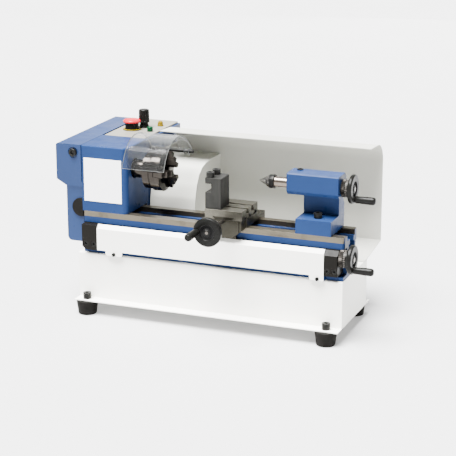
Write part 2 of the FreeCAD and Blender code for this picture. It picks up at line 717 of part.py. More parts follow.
def dial(label, x, y, z, facing, length, bore, spin=0):
    """Knurled friction ring with a plain graduated sleeve behind it."""
    points = [
        (0.4, bore), (0.4, 13.4), (1, 14), ("%s * 0.52" % length, 14), ("%s * 0.52" % length, 13.2),
        ("%s * 0.57" % length, 13.2), ("%s * 0.57" % length, 14), ("%s - 0.6" % length, 14),
        (length, 13.4), (length, bore),
    ]
    return turned(label, points, x, y, z, facing, spin)


def handwheel(label, x, y, z, facing, width, bore, pin_length, spin=0):
    """Dished handwheel with the fixed pin that its grip turns on."""
    points = [
        (0, bore), (0, 20), (0.7, 22.2), (2, "wheel_radius"), ("%s - 2" % width, "wheel_radius"),
        ("%s - 0.6" % width, 22.2), (width, 21), (width, 12.4), ("%s - 3.4" % width, 11.4),
        ("%s - 3.4" % width, 7), ("%s - 1" % width, 6.4), ("%s - 1" % width, bore),
    ]
    wheel = turned(label, points, x, y, z, facing, spin)
    extrude(wheel, label + "_pin", "x", "%s - 1" % width, "%s + %s" % (width, pin_length),
            [round_hole(0, "-pin_circle", "pin_radius")])
    return wheel


def grip(label, x, y, z, facing, length):
    """Loose sleeve with a rounded end, turning on the handwheel's pin."""
    points = [
        (0.4, "pin_radius + slide_gap"), (0.4, 4.9), (2, 5.6), ("%s * 0.7" % length, 6.3),
        ("%s - 2.2" % length, 6), ("%s - 0.6" % length, 4.4), (length, 2.4), (length, 0),
        ("%s - 2.6" % length, 0), ("%s - 2.6" % length, "pin_radius + slide_gap"),
    ]
    return turned(label, points, x, y, z, facing)


dial("leadscrew_dial", 443, "screw_y", "screw_z", "x", 15, 4)
handwheel("leadscrew_handwheel", 458, "screw_y", "screw_z", "x", 8, 4, 30, spin=-30)
grip("leadscrew_grip", 466, "screw_y - pin_circle * 0.5", "screw_z - pin_circle * 0.8660254",
     "x", 33.5)

sheet_screws = [
    socket_screw("guard_screw_0", 3, 2.6, 1.5, 8, 65.8, -6, 3.4, "-y"),
    socket_screw("guard_screw_1", 3, 2.6, 1.5, 8, 411, -6, 3.4, "-y"),
]
splash_screw_x = (120, 265, 410)
for index, x in enumerate(splash_screw_x):
    sheet_screws.append(socket_screw("splash_screw_%d" % index, 3.2, 2.6, 2, 5, x, 122, 1.2, "z"))
group("sheet_screws", sheet_screws)
cut(base, "splash_screw_holes", "z", "-sheet - 1", 1, [round_hole(x, 122, 2) for x in splash_screw_x])

# ---------------------------------------------------------------- rear splash guard

splash = body("splash_guard")
splash_outline = [
    (112, 0), (132, 0), ("splash_back + 1.2", 9), ("splash_back + 1.2", 175.1), (137, 180.2),
    (137, 179), ("splash_back", 174), ("splash_back", 10.1), (132, 1.2), (112, 1.2),
]
extrude(splash, "bent_sheet", "x", "splash_left", "splash_right", [splash_outline])
soften(splash, "outer_roll", 33.2, [("splash_left + 30", "splash_back + 1.2", 175.1)])
soften(splash, "inner_roll", 32, [("splash_left + 30", "splash_back", 174)])
end_plate = [
    (104, 1.2), (132, 1.2), ("splash_back", 10.1), ("splash_back", 147), (104, 147),
]
extrude(splash, "left_wall", "x", "splash_left", "splash_left + 1.5", [end_plate])
bulge_outline = [
    (94, 0), (94, 58), (97, 80), (103.5, 101), (113.5, 117), (127.5, 126.8), (145, 131), (170, 132),
    (209.9, 132), (209.9, 130.5), (170, 130.5), (145.2, 129.5), (128.1, 125.4), (114.6, 115.9),
    (104.9, 100.4), (98.5, 79.7), (95.5, 57.9), (95.5, 0),
]
extrude(splash, "motor_bulge", "x", "splash_left", "bulge_right", [bulge_outline])
soften(splash, "outer_curve", 40, [("splash_left + 9", y, z) for y, z in bulge_outline[1:7]])
soften(splash, "inner_curve", 38.5, [("splash_left + 9", y, z) for y, z in bulge_outline[11:17]])
bulge_end = bulge_outline[:8] + [(209.9, 132), (209.9, 10.3), (132, 1), (112, 1), (112, 0)]
extrude(splash, "bulge_wall", "x", "bulge_right - 1.5", "bulge_right", [bulge_end])
cut(splash, "motor_way", "x", "splash_left - 1", "splash_left + 2",
    [round_hole("motor_y", "motor_z", "motor_radius + 1.5")])
cut(splash, "screw_holes", "z", -1, 2, [round_hole(x, 122, 2) for x in splash_screw_x])

# ---------------------------------------------------------------- saddle

saddle = body("saddle")
ride = "way_top + slide_gap"
saddle_outline = [
    (-9, 54.5), (-9, "saddle_top"), (60, "saddle_top"), (60, 76), (90.5, 76), (90.5, 49.7),
    (75.3, 49.7), (75.3, ride), (7, ride), (7, 49.7), (1.6, 49.7), (1.6, 54.5),
]
extrude(saddle, "casting", "x", "saddle_left", "saddle_right", [saddle_outline])
corner = [(274, 49), (274, 55.7), (287, 66.6), (287, 84), (291, 84), (291, 49)]
extrude(saddle, "front_pad", "y", -10.5, -8.9, [rect(230.6, 60, 283, "saddle_top - 0.3")])
cut(saddle, "apron_corner", "y", -11, 7.1, [corner])
dovetail = [(243.5, 82.9), (239.5, 86.9), (275.5, 86.9), (271.5, 82.9)]
extrude(saddle, "dovetail", "y", -8.7, 60, [dovetail])
cut(saddle, "screw_channel", "y", 4, 86, [rect(250, 73, 264, 90)])
cut(saddle, "screw_bore", "y", -11, 5, [round_hole("cross_x", "cross_z", "3 + slide_gap")])
keeper_holes = [round_hole(x, y, 1.5) for x in (235, 280) for y in (4.3, 83)]
cut(saddle, "keeper_bores", "z", 49, 60, keeper_holes)

nut = body("leadscrew_nut")
extrude(nut, "nut_block", "x", 246, 269, [rect(1.6, 29, 15, 49.7)])
cut(nut, "nut_bore", "x", 245, 270, [round_hole("screw_y", "screw_z", "screw_radius + slide_gap")])

keepers = []
for name, x, y, length, width in (
        ("front_keeper_left", 228, 1.6, 15, 14.4),
        ("front_keeper_right", 272, 1.6, 15, 14.4),
        ("rear_keeper", 228, 70, 60, 20.5)):
    strip = doc.addObject("Part::Box", name)
    bind(strip, "Length", length)
    bind(strip, "Width", width)
    bind(strip, "Height", 4)
    bind(strip, "Placement.Base.x", x)
    bind(strip, "Placement.Base.y", y)
    bind(strip, "Placement.Base.z", 45.7)
    keepers.append(strip)
group("saddle_keepers", keepers)

# ---------------------------------------------------------------- cross slide and tool post

slide = body("cross_slide")
slide_low = "saddle_top + slide_gap"
slide_outline = [
    ("saddle_left", slide_low), (243.2, slide_low), (238.9, 87.3), (276.1, 87.3),
    (271.8, slide_low), ("slide_right", slide_low), ("slide_right", "slide_top"),
    ("saddle_left", "slide_top"),
]
extrude(slide, "block", "y", -10, 60, [slide_outline])
cut(slide, "slot_necks", "x", 226, 289, [rect(11, 92, 18, 99), rect(33, 92, 40, 99)])
cut(slide, "slot_heads", "x", 226, 289, [rect(8, 89, 21, 93), rect(30, 89, 43, 93)])
gib_y = (0, 25, 50)
gib_holes = [round_hole(y, 85.6, 1.5) for y in gib_y]
cut(slide, "gib_bores", "x", 279, 289, gib_holes)

cross_nut = body("cross_nut")
extrude(cross_nut, "nut_block", "y", 20, 34, [rect(252, 74.5, 262, 87.3)])
cut(cross_nut, "nut_bore", "y", 19, 35, [round_hole("cross_x", "cross_z", "3 + slide_gap")])

post = body("tool_post")
extrude(post, "block", "z", "slide_top", "post_top", [rect("saddle_left", -8, "post_right", 28)])
cut(post, "tool_slot", "y", -9, 29, [rect(226, 124, 236.5, 138)])
post_bores = [round_hole(232, 0, 3), round_hole(234, 21, 3)]
cut(post, "screw_bores", "z", 137, 148, post_bores)
cut(post, "bolt_bore", "z", 97, 116, [round_hole(244, 14.5, 3)])
soften(post, "top_edge", 1.5, [("post_right", 10, "post_top")])

slide_screws = [
    socket_screw("post_screw_0", 6.5, 8, 3, 9, 232, 0, "post_top", "z"),
    socket_screw("post_screw_1", 6.5, 8, 3, 9, 234, 21, "post_top", "z"),
    socket_screw("slot_bolt", 6.3, 3.6, 3, 21, 244, 14.5, 92.9, "-z"),
]
for index, y in enumerate(gib_y):
    slide_screws.append(socket_screw("gib_screw_%d" % index, 2.6, 2, 1.5, 9, "slide_right", y, 85.6, "x"))
group("slide_screws", slide_screws)

turned("cross_screw", [(0, 0), (0, 3), (157, 3), (157, 0)], "cross_x", 80, "cross_z", "-y")
dial("cross_dial", "cross_x", -49, "cross_z", "-y", 20, 3)
handwheel("cross_handwheel", "cross_x", -69, "cross_z", "-y", 9, 3, 33, spin=-90)
grip("cross_grip", "cross_x - pin_circle", -78, "cross_z", "-y", 37)

# ---------------------------------------------------------------- tailstock

tail = body("tailstock")
tail_outline = [
    (7, ride), (7, "tail_foot_top"), (47, "tail_foot_top"), (47, 128), (60, 133), (64, 122),
    ("bed_back", 106), ("bed_back", ride),
]
extrude(tail, "foot", "x", "tail_left", "tail_right", [tail_outline])
barrel = [
    (24, 125.5), (18.5, 131.5), (18.5, 158.2), (20.5, 160), (54, 160), (60.5, 154), (60.5, 131.5),
    (55, 125.5),
]
extrude(tail, "barrel", "x", "barrel_left", "barrel_right", [barrel])
cut(tail, "quill_bore", "x", "barrel_left - 1", 430,
    [round_hole("axis_y", "axis_z", "quill_radius + slide_gap")])
cut(tail, "screw_bore", "x", 429, 435, [round_hole("axis_y", "axis_z", "4 + slide_gap")])
cut(tail, "clamp_bore", "z", 68, 84, [round_hole(397.5, 46, 4)])
cut(tail, "front_screw_bore", "z", 78, "tail_foot_top + 1", [round_hole(401, 24, 4)])
cut(tail, "lock_bore", "z", 150, 161, [round_hole("lock_x", "lock_y", 2)])

tail_screws = [
    socket_screw("front_clamp_screw", 6.5, 8.5, 4, 13, 401, 24, "tail_foot_top", "z"),
    socket_screw("quill_lock_screw", 5, 1.8, 2, 9.5, "lock_x", "lock_y", 160, "z"),
]
group("tailstock_screws", tail_screws)
clamp_plate = doc.addObject("Part::Box", "clamp_plate")
bind(clamp_plate, "Length", 25)
bind(clamp_plate, "Width", 26)
bind(clamp_plate, "Height", 5.7)
bind(clamp_plate, "Placement.Base.x", 385)
bind(clamp_plate, "Placement.Base.y", 33)
bind(clamp_plate, "Placement.Base.z", 46)
clamp_hole = cylinder("clamp_hole", 4, 8, 397.5, 46, 45)
drilled = doc.addObject("Part::Cut", "drilled_plate")
drilled.Base = clamp_plate
drilled.Tool = clamp_hole
clamp_bolt = socket_screw("clamp_bolt", 6.5, 6, 4, 37, 397.5, 46, 46, "-z")
group("tailstock_clamp", [drilled, clamp_bolt])

quill_points = [
    (324.5, 5), (324.5, 8), (325.2, "quill_radius"), (405, "quill_radius"),
    (405, "4 + slide_gap"), (351, "4 + slide_gap"), (351, 0), (346, 0), (346, 5),
]
turned("quill", quill_points, 0, "axis_y", "axis_z")
centre_points = [
    (297.6, 0), (317, 11.2), (324.5, 11.2), (324.5, 5), (346, 5), (346, 0),
]
turned("dead_centre", centre_points, 0, "axis_y", "axis_z")
turned("tail_screw", [(378, 0), (378, 4), (454, 4), (454, 0)], 0, "axis_y", "axis_z")
dial("tail_dial", "barrel_right", "axis_y", "axis_z", "x", 13.1, 4)
handwheel("tail_handwheel", 447.5, "axis_y", "axis_z", "x", 7, 4, 29)
grip("tail_grip", 454.5, "axis_y", "axis_z - pin_circle", "x", 33.5)

# ---------------------------------------------------------------- move to the origin and write

doc.recompute()
whole = FreeCAD.BoundBox()
for thing in nodes:
    whole.add(thing.Shape.BoundBox)
for alias, value in (("origin_x", (whole.XMin + whole.XMax) / 2),
                     ("origin_y", (whole.YMin + whole.YMax) / 2),
                     ("origin_z", whole.ZMin)):
    sheet.set(alias, "%.3f" % value)
doc.recompute()

for thing in doc.Objects:
    if "Invalid" in thing.State or "Error" in thing.State:
        raise RuntimeError("%s is %s" % (thing.Name, thing.State))
os.makedirs("parts", exist_ok=True)
for thing in nodes:
    if thing.Shape.isNull() or not thing.Shape.isValid():
        raise RuntimeError(thing.Label + " has no valid shape")
    thing.Shape.exportStep("parts/%s.step" % thing.Label)
print("pieces:", len(nodes), "origin:", [sheet.get(a) for a in ("origin_x", "origin_y", "origin_z")])
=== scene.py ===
import json
import math

import bmesh
import bpy
from mathutils import Matrix, Vector


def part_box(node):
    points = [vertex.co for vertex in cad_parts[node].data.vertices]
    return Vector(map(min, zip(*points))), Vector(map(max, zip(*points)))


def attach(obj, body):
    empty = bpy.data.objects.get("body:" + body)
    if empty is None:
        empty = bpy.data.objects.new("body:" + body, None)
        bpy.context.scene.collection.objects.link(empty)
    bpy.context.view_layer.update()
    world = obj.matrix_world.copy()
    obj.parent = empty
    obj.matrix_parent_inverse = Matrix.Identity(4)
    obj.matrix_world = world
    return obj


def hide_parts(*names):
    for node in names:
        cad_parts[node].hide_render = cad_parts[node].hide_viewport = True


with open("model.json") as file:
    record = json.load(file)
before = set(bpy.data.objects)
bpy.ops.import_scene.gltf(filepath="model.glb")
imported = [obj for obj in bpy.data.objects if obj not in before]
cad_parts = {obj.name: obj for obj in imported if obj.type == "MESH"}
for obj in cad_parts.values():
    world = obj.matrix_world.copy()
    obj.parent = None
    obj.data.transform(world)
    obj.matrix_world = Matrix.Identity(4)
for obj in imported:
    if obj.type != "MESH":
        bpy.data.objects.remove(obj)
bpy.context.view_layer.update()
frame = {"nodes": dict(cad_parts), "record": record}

BODIES = frame["record"]["behaviour"]["bodies"]
BODY_OF = {node: body for body, members in BODIES.items() for node in members}
SLOT_OF = {part["node"]: part["material_slot"] for part in frame["record"]["subparts"]}

# The layout frame is in millimetres, from the left front top corner of the base's upright wall.
# The base's flange stands out in front of that wall.
FLANGE = 0.0205
BASE_LOW, BASE_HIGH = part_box("base_cabinet")
CORNER = Vector((BASE_LOW.x, BASE_LOW.y + FLANGE, BASE_HIGH.z))


def at(x, y, z):
    """A layout point in millimetres as a point of the row frame in metres."""
    return CORNER + Vector((x, y, z)) / 1000


def middle(node):
    low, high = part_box(node)
    return (low + high) / 2


RIGHT = Vector((1, 0, 0))
FRONT = Vector((0, -1, 0))
UP = Vector((0, 0, 1))

SPINDLE_AXIS = middle("spindle")
WAY_TOP = at(0, 0, 68.4)                   # the flat tops of the bed's ways
WAY_FOOT = at(0, 0, 59.6)                  # where their ground sides end and the paint begins
CENTRE_FLANGE = at(317, 0, 0)              # where the dead centre's blackened flange begins
GUARD_EDGE = at(0, 0, 151)                 # just over the clear guard's lower edge
PANEL_TOP = at(0, 0, 177)                  # the face of the control panel
SPEED_KNOB = at(45, 165, 177)              # its stem's centre on that face
LEADSCREW_HUB = at(458, 8, 36)             # where each screw's dial meets its wheel
TAIL_HUB = at(447.5, 41.2, 138.4)
CROSS_HUB = at(256.8, -69, 80)

# ------------------------------------------------------------------ materials


class Surface:
    """A node material with small helpers; the shader's constants are set on its own sockets."""

    def __init__(self, name, metallic=0.0, coat=0.0, specular=0.5):
        self.material = bpy.data.materials.new(name)
        self.material.use_nodes = True
        self.nodes = self.material.node_tree.nodes
        self.links = self.material.node_tree.links
        self.shader = self.nodes["Principled BSDF"]
        self.shader.inputs["Metallic"].default_value = metallic
        self.shader.inputs["Coat Weight"].default_value = coat
        self.shader.inputs["Coat Roughness"].default_value = 0.12
        self.shader.inputs["Specular IOR Level"].default_value = specular
        self.place = self.nodes.new("ShaderNodeTexCoord").outputs["Object"]

    def stretch(self, source, scale, shift=(0, 0, 0)):
        node = self.nodes.new("ShaderNodeMapping")
        node.inputs["Scale"].default_value = scale
        node.inputs["Location"].default_value = shift
        self.links.new(source, node.inputs["Vector"])
        return node.outputs["Vector"]

    def noise(self, scale, detail=3.0, source=None, roughness=0.5):
        node = self.nodes.new("ShaderNodeTexNoise")
        node.inputs["Scale"].default_value = scale
        node.inputs["Detail"].default_value = detail
        node.inputs["Roughness"].default_value = roughness
        self.links.new(source or self.place, node.inputs["Vector"])
        return node.outputs["Fac"]

    def ramp(self, source, stops):
        node = self.nodes.new("ShaderNodeValToRGB")
        ramp = node.color_ramp
        while len(ramp.elements) < len(stops):
            ramp.elements.new(0.5)
        for element, (spot, colour) in zip(ramp.elements, stops):
            element.position = spot
            element.color = (*colour, 1)
        self.links.new(source, node.inputs["Fac"])
        return node.outputs["Color"]

    def span(self, source, low, high, start=0.3, stop=0.7):
        """Turn start..stop of the source into low..high."""
        node = self.nodes.new("ShaderNodeMapRange")
        node.inputs["From Min"].default_value = start
        node.inputs["From Max"].default_value = stop
        node.inputs["To Min"].default_value = low
        node.inputs["To Max"].default_value = high
        self.links.new(source, node.inputs["Value"])
        return node.outputs["Result"]

    def blend(self, amount, base, colour):
        """Mix a plain colour over the base by amount."""
        node = self.nodes.new("ShaderNodeMix")
        node.data_type = "RGBA"
        base_socket, colour_socket, result = node.inputs[6], node.inputs[7], node.outputs[2]
        self.links.new(amount, node.inputs["Factor"])
        self.links.new(base, base_socket)
        colour_socket.default_value = (*colour, 1)
        return result

    def bump(self, source, strength, distance):
        """Add a bump, distance in metres, on top of any that is there already."""
        node = self.nodes.new("ShaderNodeBump")
        node.inputs["Strength"].default_value = strength
        node.inputs["Distance"].default_value = distance
        self.links.new(source, node.inputs["Height"])
        previous = self.shader.inputs["Normal"]
        if previous.is_linked:
            self.links.new(previous.links[0].from_socket, node.inputs["Normal"])
        self.links.new(node.outputs["Normal"], previous)

    def colour(self, source):
        self.links.new(source, self.shader.inputs["Base Color"])

    def rough(self, source):
        self.links.new(source, self.shader.inputs["Roughness"])


def tint(colour, factor):
    return tuple(min(1.0, max(0.0, part * factor)) for part in colour)


def paint(name, colour, rough=(0.3, 0.42), peel=0.1, coat=0.0, mottle=0.08):
    """Sprayed paint: faint mottling, orange peel and a few dull patches."""
    skin = Surface(name, coat=coat, specular=0.15)
    cloud = skin.noise(14, 4)
    fine = skin.noise(260, 3)
    base = skin.ramp(cloud, [(0.3, tint(colour, 1 - mottle)), (0.7, tint(colour, 1 + mottle))])
    speck = skin.span(fine, 0.0, 0.35, 0.62, 0.8)
    skin.colour(skin.blend(speck, base, tint(colour, 0.8)))
    skin.rough(skin.span(skin.noise(40, 5), *rough))
    skin.bump(skin.noise(900, 2), peel, 0.00008)
    return skin.material


def casting(name, colour):
    """Thick paint on a sand casting, with its slow waviness and pits."""
    skin = Surface(name, specular=0.05)
    cloud = skin.noise(11, 5)
    base = skin.ramp(cloud, [(0.25, tint(colour, 0.86)), (0.55, colour), (0.8, tint(colour, 1.12))])
    pits = skin.span(skin.noise(420, 2), 0.0, 0.5, 0.66, 0.8)
    skin.colour(skin.blend(pits, base, tint(colour, 0.7)))
    skin.rough(skin.span(skin.noise(60, 4), 0.26, 0.4))
    skin.bump(skin.noise(70, 4), 0.12, 0.0006)
    skin.bump(skin.noise(700, 3), 0.16, 0.00012)
    return skin.material


def ground_metal(name, colour, along=(12, 900, 900), rough=(0.24, 0.42), metallic=0.9, oil=0.08):
    """Metal ground in straight strokes, with dark stains and a thin oil film."""
    skin = Surface(name, metallic=metallic, coat=oil, specular=0.12)
    strokes = skin.noise(1, 4, skin.stretch(skin.place, along), 0.6)
    stains = skin.span(skin.noise(35, 4), 0.0, 0.85, 0.5, 0.72)
    base = skin.ramp(strokes, [(0.3, tint(colour, 0.78)), (0.55, colour),
                               (0.75, tint(colour, 1.15))])
    skin.colour(skin.blend(stains, base, tint(colour, 0.5)))
    skin.rough(skin.span(strokes, *rough))
    skin.bump(strokes, 0.1, 0.00005)
    return skin.material


def turned_metal(name, colour, rough=(0.2, 0.36), rings=1500):
    """Metal from a lathe: fine grooves round the spindle's axis."""
    skin = Surface(name, metallic=0.95)
    local = skin.stretch(skin.place, (1, 1, 1), tuple(-value for value in SPINDLE_AXIS))
    split = skin.nodes.new("ShaderNodeSeparateXYZ")
    skin.links.new(local, split.inputs["Vector"])
    flat = skin.nodes.new("ShaderNodeCombineXYZ")
    skin.links.new(split.outputs["Y"], flat.inputs["X"])
    skin.links.new(split.outputs["Z"], flat.inputs["Y"])
    radius = skin.nodes.new("ShaderNodeVectorMath")
    radius.operation = "LENGTH"
    skin.links.new(flat.outputs["Vector"], radius.inputs[0])
    pair = skin.nodes.new("ShaderNodeCombineXYZ")
    skin.links.new(split.outputs["X"], pair.inputs["X"])
    skin.links.new(radius.outputs["Value"], pair.inputs["Y"])
    grooves = skin.noise(rings, 2, pair.outputs["Vector"])
    film = skin.span(skin.noise(50, 4), 0.0, 0.4, 0.55, 0.75)
    base = skin.ramp(grooves, [(0.3, tint(colour, 0.74)), (0.55, colour),
                               (0.75, tint(colour, 1.18))])
    skin.colour(skin.blend(film, base, tint(colour, 0.7)))
    skin.rough(skin.span(grooves, *rough))
    skin.bump(grooves, 0.12, 0.00004)
    return skin.material


def moulding(name, colour, rough=(0.28, 0.4), grain=0.15, coat=0.0, scale=650):
    """Moulded plastic or rubber with a fine skin."""
    skin = Surface(name, coat=coat, specular=0.07)
    cloud = skin.noise(45, 3)
    skin.colour(skin.ramp(cloud, [(0.3, tint(colour, 0.82)), (0.7, tint(colour, 1.2))]))
    skin.rough(skin.span(skin.noise(120, 3), *rough))
    skin.bump(skin.noise(scale, 2), grain, 0.0001)
    return skin.material


def black_oxide(name, colour, rough=(0.3, 0.5)):
    """Blackened steel with brighter rubbed patches."""
    skin = Surface(name, metallic=0.75, specular=0.12)
    rub = skin.noise(90, 5, roughness=0.65)
    skin.colour(skin.ramp(rub, [(0.35, colour), (0.6, tint(colour, 1.7)),
                                (0.8, tint(colour, 3.2))]))
    skin.rough(skin.span(rub, rough[1], rough[0]))
    skin.bump(skin.noise(800, 3), 0.1, 0.00006)
    return skin.material


def clear_sheet(name):
    """Clear bent plastic: nearly open face on, whiter and shinier at a glancing view."""
    skin = Surface(name, coat=0.6, specular=0.7)
    skin.shader.inputs["IOR"].default_value = 1.49
    haze = skin.noise(30, 4)
    skin.colour(skin.ramp(haze, [(0.3, (0.17, 0.175, 0.172)), (0.7, (0.22, 0.225, 0.222))]))
    skin.rough(skin.span(skin.noise(160, 3), 0.05, 0.14))
    facing = skin.nodes.new("ShaderNodeLayerWeight")
    facing.inputs["Blend"].default_value = 0.35
    opacity = skin.span(facing.outputs["Facing"], 0.025, 0.55, 0.2, 1.0)
    skin.links.new(opacity, skin.shader.inputs["Alpha"])
    skin.bump(skin.noise(25, 2), 0.05, 0.0005)
    return skin.material


BLUE = (0.0098, 0.0245, 0.077)
POWDER_COAT = {"rough": (0.34, 0.48), "peel": 0.2, "mottle": 0.02}
GLOSSY_BUTTON = {"rough": (0.2, 0.32), "grain": 0.08, "coat": 0.1}
ACROSS = (500, 18, 500)                    # grinding strokes along Y

# the finish of each material slot
FINISH = {
    "blue_paint": casting("blue_casting_paint", BLUE),
    "cover_paint": paint("blue_sheet_paint", BLUE, (0.26, 0.38), 0.14, mottle=0.06),
    "white_paint": paint("white_powder_coat", (0.88, 0.87, 0.82), **POWDER_COAT),
    "ground_steel": ground_metal("ground_steel", (0.10, 0.087, 0.065), metallic=0.86),
    "turned_steel": turned_metal("turned_steel", (0.10, 0.09, 0.08)),
    "dark_steel": black_oxide("black_oxide_steel", (0.009, 0.009, 0.0085)),
    "slide_steel": ground_metal("ground_grey_iron", (0.092, 0.087, 0.070), ACROSS,
                                (0.3, 0.42), 0.88),
    "bracket_black": casting("black_casting_paint", (0.005, 0.0045, 0.0038)),
    "black_plastic": moulding("black_moulding", (0.005, 0.005, 0.0045), (0.22, 0.36), 0.12),
    "rubber_black": moulding("black_rubber", (0.0045, 0.004, 0.0033), (0.55, 0.75), 0.4,
                             scale=420),
    "belt_rubber": moulding("belt_rubber", (0.014, 0.013, 0.012), (0.5, 0.7), 0.5, scale=300),
    "clear_plastic": clear_sheet("clear_guard_sheet"),
    "red_plastic": moulding("red_button", (0.36, 0.009, 0.018), **GLOSSY_BUTTON),
    "green_plastic": moulding("green_button", (0.001, 0.033, 0.011), **GLOSSY_BUTTON),
    "yellow_plastic": moulding("yellow_lens", (0.13, 0.085, 0.002), (0.12, 0.24), 0.08, 0.1),
    "cream_plate": paint("cream_panel", (0.17, 0.16, 0.135), peel=0.06, mottle=0.03),
    "plain_plate": paint("blank_plate", (0.90, 0.90, 0.93), (0.22, 0.34), 0.04, 0.1, 0.012),
    "bright_dial": turned_metal("bright_turned", (0.2, 0.19, 0.18), (0.18, 0.3)),
    "bronze": turned_metal("bronze", (0.25, 0.16, 0.06)),
    "motor_grey": paint("motor_grey", (0.04, 0.043, 0.046), (0.4, 0.5), 0.2, mottle=0.1),
}

# finishes of single pieces, or of parts of them, that differ from their slot's
POST_STEEL = ground_metal("tool_post_steel", (0.021, 0.021, 0.0193), (400, 400, 30),
                          (0.4, 0.55), 0.4, oil=0)
# painted shade: the saddle's ground grey iron at a third of the cross slide's colour, standing in
# for the shade and dark reflections under the cross slide
SADDLE_SHADED_IRON = ground_metal("saddle_iron_painted_shade", (0.030, 0.028, 0.021), ACROSS, (0.3, 0.42), 0.88)
# painted shade: the splash guard's white powder coat at half the white paint's colour, standing in
# for the dimmer light on its upright face
SPLASH_SHADED_WHITE = paint("splash_powder_coat_painted_shade", (0.44, 0.44, 0.40), **POWDER_COAT)
CENTRE_STEEL = turned_metal("centre_steel", (0.26, 0.25, 0.235), (0.16, 0.28))
QUILL_STEEL = turned_metal("quill_steel", (0.15, 0.125, 0.105), (0.16, 0.3), 700)
CHUCK_STEEL = turned_metal("chuck_steel", (0.026, 0.0225, 0.0195), (0.08, 0.18), 900)
JAW_STEEL = ground_metal("jaw_steel", (0.026, 0.0225, 0.019), (60, 500, 500), (0.14, 0.28), 0.85)
WHEEL_FACE = ground_metal("wheel_face", (0.026, 0.026, 0.0245), (300, 300, 300),
                          (0.4, 0.55), 0.6, oil=0)
WHEEL_RIM = FINISH["black_plastic"]
WHEEL_HUB = moulding("wheel_hub", (0.006, 0.006, 0.006), (0.3, 0.45), 0.2)
KNURL_STEEL = black_oxide("knurled_steel", (0.014, 0.0125, 0.011), (0.25, 0.4))
DIAL_STEEL = black_oxide("dial_steel", (0.006, 0.006, 0.0055), (0.3, 0.45))
INK = moulding("dial_ink", (0.11, 0.10, 0.09), (0.4, 0.5), 0.05)
YELLOW_RING = moulding("yellow_ring", (0.20, 0.14, 0.003), (0.3, 0.4), 0.05)
CUT_EDGE = paint("guard_cut_edge", (0.2, 0.21, 0.205), (0.3, 0.4), 0.05, 0.2, 0.03)

# ------------------------------------------------------------------ mesh helpers


def show(name, mesh, body, finishes, replaced=()):
    """Make an object of a mesh with its finishes, hang it on its body and hide the nodes it
    replaces.
    """
    thing = bpy.data.objects.new(name, mesh)
    bpy.context.scene.collection.objects.link(thing)
    for finish in finishes:
        mesh.materials.append(finish)
    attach(thing, body)
    if replaced:
        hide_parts(*replaced)
    return thing


def smooth(mesh, angle=35):
    """Shade the faces smooth, apart from edges sharper than angle degrees."""
    mesh.polygons.foreach_set("use_smooth", [True] * len(mesh.polygons))
    mesh.update()
    mesh.set_sharp_from_angle(angle=math.radians(angle))


def ease_edges(thing, radius):
    """Round an object's edges by a radius in mm."""
    bevel = thing.modifiers.new("edges", "BEVEL")
    bevel.width = radius / 1000
    bevel.segments = 2
    bevel.limit_method = "ANGLE"
    bevel.angle_limit = math.radians(32)
    bevel.harden_normals = False
    bevel.use_clamp_overlap = True
    thing.modifiers.new("normals", "WEIGHTED_NORMAL").keep_sharp = True


def clean_mesh(node):
    """The node's own shape with its doubled points merged and its flats joined up."""
    mesh = frame["nodes"][node].data.copy()
    mesh.name = node + "_shape"
    mesh.materials.clear()
    shape = bmesh.new()
    shape.from_mesh(mesh)
    bmesh.ops.remove_doubles(shape, verts=shape.verts, dist=2e-6)
    bmesh.ops.dissolve_limit(shape, angle_limit=math.radians(0.6), verts=shape.verts,
                             edges=shape.edges, use_dissolve_boundaries=False)
    bmesh.ops.recalc_face_normals(shape, faces=shape.faces)
    shape.to_mesh(mesh)
    shape.free()
    if "custom_normal" in mesh.attributes:
        mesh.attributes.remove(mesh.attributes["custom_normal"])
    return mesh


def dressed(node, radius, finishes=None, pick=None, split=None):
    """A node's shape with edges eased by radius mm.

    pick(face centre, normal) chooses among its finishes, and split is the height in metres of a
    level cut between two of them."""
    mesh = clean_mesh(node)
    shape = bmesh.new()
    shape.from_mesh(mesh)
    if split is not None:
        bmesh.ops.bisect_plane(shape, geom=shape.verts[:] + shape.edges[:] + shape.faces[:],
                               plane_co=(0, 0, split), plane_no=UP, dist=1e-6)
    for face in shape.faces:
        face.material_index = pick(face.calc_center_median(), face.normal) if pick else 0
    shape.to_mesh(mesh)
    shape.free()
    smooth(mesh)
    thing = show(node + "_finished", mesh, BODY_OF[node],
                 finishes or [FINISH[SLOT_OF[node]]], (node,))
    ease_edges(thing, radius)


def rounded(points, radius, steps=3):
    """A profile of (distance, radius, finish index), each inner corner made a short curve."""
    result = [points[0]]
    for before, here, after in zip(points, points[1:], points[2:]):
        a, b, c = (Vector(value[:2]) for value in (before, here, after))
        back, ahead = (a - b), (c - b)
        reach = min(radius, back.length * 0.45, ahead.length * 0.45)
        start, stop = b + back.normalized() * reach, b + ahead.normalized() * reach
        for step in range(steps + 1):
            t = step / steps
            spot = start * (1 - t) ** 2 + b * 2 * t * (1 - t) + stop * t ** 2
            result.append((spot.x, spot.y, here[2] if len(here) > 2 else 0))
    result.append(points[-1])
    return result


def basis(direction):
    """Along, side and up for a turned piece whose axis is direction."""
    along = Vector(direction).normalized()
    up = UP if abs(along.z) < 0.9 else RIGHT
    side = up.cross(along).normalized()
    return along, side, along.cross(side)


